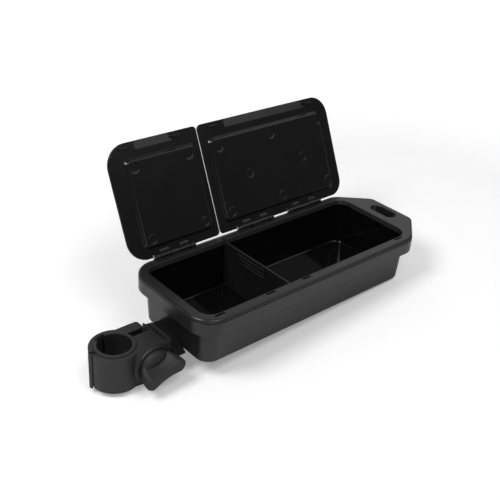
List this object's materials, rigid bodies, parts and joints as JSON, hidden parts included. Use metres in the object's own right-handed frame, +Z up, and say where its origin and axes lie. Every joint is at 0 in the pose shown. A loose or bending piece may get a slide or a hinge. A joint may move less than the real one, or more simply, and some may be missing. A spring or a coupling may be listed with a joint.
{
  "type": "clamp-on side tray",
  "caption": "Black plastic side tray with hinged lids, a lift-out divider, a carrying tab and a screw-tightened leg clamp.",
  "frame": {"origin": "centre of the tub's flat bottom face", "axes": "+Z up through the tray's opening, +X along the tray towards the carrying tab, +Y towards the lid hinges"},
  "size_m": [0.3724, 0.1588, 0.1726],
  "materials": {
    "satin_black": "satin moulded black polypropylene",
    "gloss_black": "polished moulded black plastic inside, satin outside",
    "clamp_black": "matte glass-filled black nylon",
    "steel": "zinc plated steel"
  },
  "bodies": {
    "tray": {"tub": "gloss_black", "top_frame": "satin_black", "mount_rail": "satin_black", "frame_screw_1": "steel", "frame_screw_2": "steel", "frame_screw_3": "steel", "frame_screw_4": "steel", "frame_screw_5": "steel", "frame_screw_6": "steel", "rail_screw_1": "steel", "rail_screw_2": "steel", "hinge_pin_left": "steel", "hinge_pin_right_1": "steel", "hinge_pin_right_2": "steel"},
    "divider": {"divider": "gloss_black"},
    "left_lid": {"left_lid": "satin_black"},
    "right_lid": {"right_lid": "satin_black"},
    "clamp": {"clamp_body": "clamp_black"},
    "jaw": {"clamp_jaw": "clamp_black", "jaw_nut": "steel"},
    "knob": {"wing_knob": "clamp_black", "clamp_bolt": "steel", "bolt_washer": "steel"},
    "bush": {"reducer_bush": "clamp_black"}
  },
  "joints": [
    {"name": "left_lid_hinge", "type": "hinge", "parent": "tray", "child": "left_lid", "pos_m": [-0.0885, 0.0552, 0.0541], "axis": [-1, 0, 0], "range_deg": [-114.65, 0]},
    {"name": "right_lid_hinge", "type": "hinge", "parent": "tray", "child": "right_lid", "pos_m": [0.047, 0.0552, 0.0541], "axis": [-1, 0, 0], "range_deg": [-114.65, 0]},
    {"name": "divider_lift", "type": "slide", "parent": "tray", "child": "divider", "axis": [0, 0, 1], "range_m": [0, 0.055]},
    {"name": "clamp_slide", "type": "slide", "parent": "tray", "child": "clamp", "axis": [0, -1, 0], "range_m": [0, 0.032]},
    {"name": "knob_turn", "type": "hinge", "parent": "clamp", "child": "knob", "pos_m": [-0.162, -0.0174, -0.0006], "axis": [0, 1, 0], "range_deg": [-648, 0]},
    {"name": "jaw_swing", "type": "hinge", "parent": "clamp", "child": "jaw", "pos_m": [-0.2089, 0.0074, -0.0006], "axis": [0, 0, -1], "range_deg": [-2.2, 0]},
    {"name": "bush_lift", "type": "slide", "parent": "clamp", "child": "bush", "axis": [0, 0, 1], "range_m": [0, 0.04]}
  ],
  "couplings": [
    {"joint": "jaw_swing", "follows": "knob_turn", "ratio": 0.003393}
  ]
}
